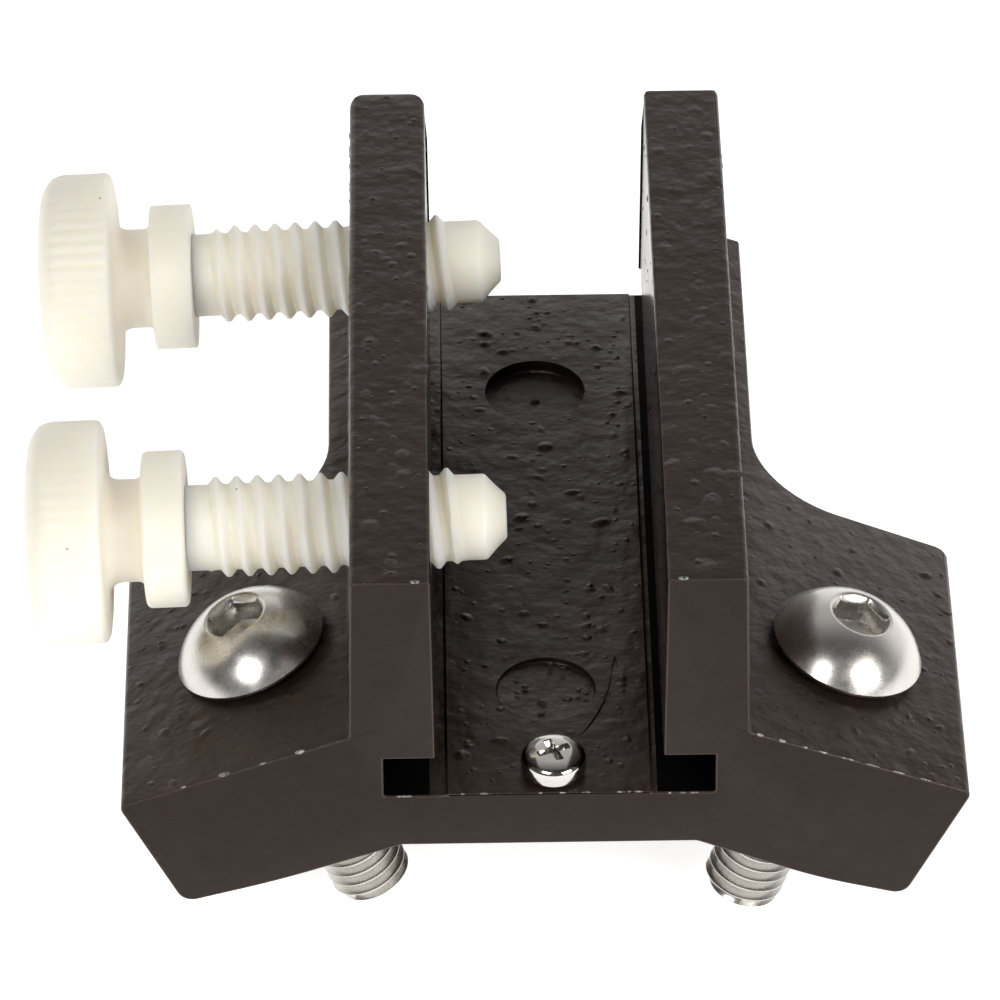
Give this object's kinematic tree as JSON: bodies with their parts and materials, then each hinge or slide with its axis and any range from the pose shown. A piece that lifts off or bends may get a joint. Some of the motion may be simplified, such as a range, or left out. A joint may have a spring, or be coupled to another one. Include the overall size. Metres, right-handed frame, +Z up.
{
  "type": "finder telescope shoe",
  "caption": "Slotted channel base that bolts to a telescope tube; nylon thumbscrews through one wall clamp a finder's foot in its T-slots.",
  "frame": {"origin": "middle of the flat strip under the base, where it sits on the tube", "axes": "+Y runs back along the channel from the front end, +Z points up out of the channel, and the thumbscrews enter from -X"},
  "size_m": [0.0568, 0.0502, 0.0345],
  "materials": {
    "black_paint": "semi-gloss black stove paint over cast aluminium",
    "ivory_nylon": "moulded, slightly translucent",
    "polished_steel": "polished stainless steel"
  },
  "bodies": {
    "base": {"base_casting": "black_paint", "stop_screw": "polished_steel"},
    "front_screw": {"front_thumbscrew": "ivory_nylon"},
    "rear_screw": {"rear_thumbscrew": "ivory_nylon"},
    "left_bolt": {"left_wing_screw": "polished_steel"},
    "right_bolt": {"right_wing_screw": "polished_steel"}
  },
  "joints": [
    {"name": "front_screw_travel", "type": "slide", "parent": "base", "child": "front_screw", "axis": [0.9995, 0, 0.0323], "range_m": [-0.0045, 0.0048]},
    {"name": "rear_screw_travel", "type": "slide", "parent": "base", "child": "rear_screw", "axis": [0.9989, 0, 0.0471], "range_m": [-0.0045, 0.0088]},
    {"name": "left_bolt_turn", "type": "hinge", "parent": "base", "child": "left_bolt", "pos_m": [-0.01622, -0.01423, 0.00226], "axis": [-0.3584, 0, 0.9336], "continuous": true},
    {"name": "right_bolt_turn", "type": "hinge", "parent": "base", "child": "right_bolt", "pos_m": [0.01677, -0.015, 0.00206], "axis": [0.3123, 0, 0.95], "continuous": true}
  ]
}
